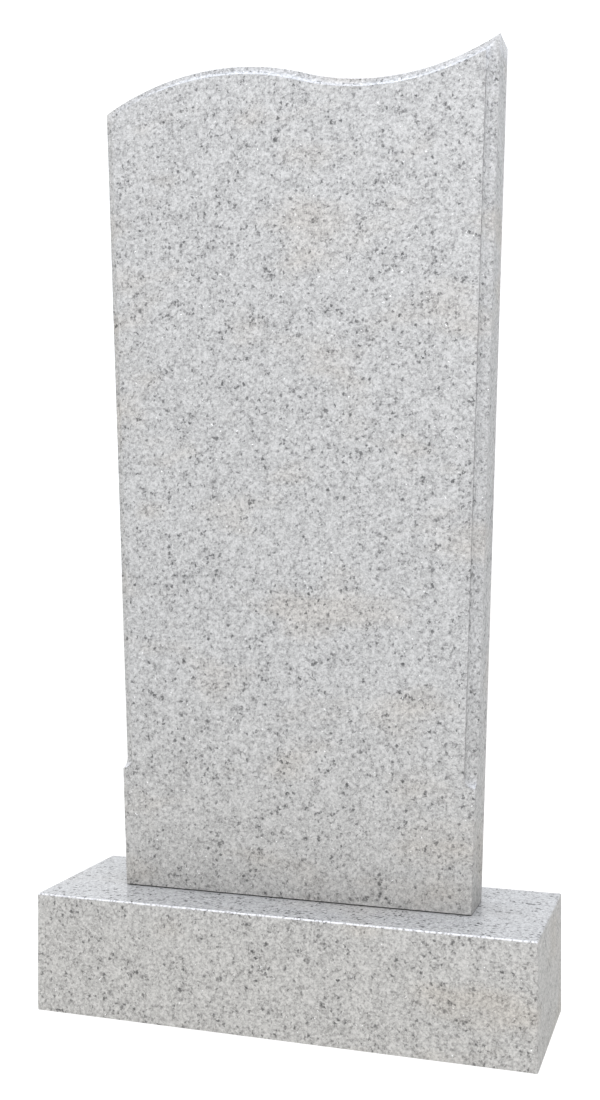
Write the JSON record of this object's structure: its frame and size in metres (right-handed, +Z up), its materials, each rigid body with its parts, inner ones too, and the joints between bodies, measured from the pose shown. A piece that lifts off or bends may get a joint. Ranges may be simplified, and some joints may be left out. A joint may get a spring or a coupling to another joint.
{
  "type": "upright headstone",
  "caption": "Upright memorial of polished light grey granite: a tapered stele with a wave top and a hollow moulded front edge, standing on a low rectangular plinth.",
  "frame": {"origin": "on the ground, under the middle of the plinth", "axes": "+Z up, -Y towards the front, +X to the right of someone who looks at the front"},
  "size_m": [0.6, 0.2, 1.141],
  "materials": {
    "stele_granite": "polished, light grey fine-grained granite with dark flecks",
    "plinth_granite": "polished, light grey fine-grained granite with dark flecks"
  },
  "bodies": {
    "root": {"stele": "stele_granite", "plinth": "plinth_granite"}
  },
  "joints": []
}
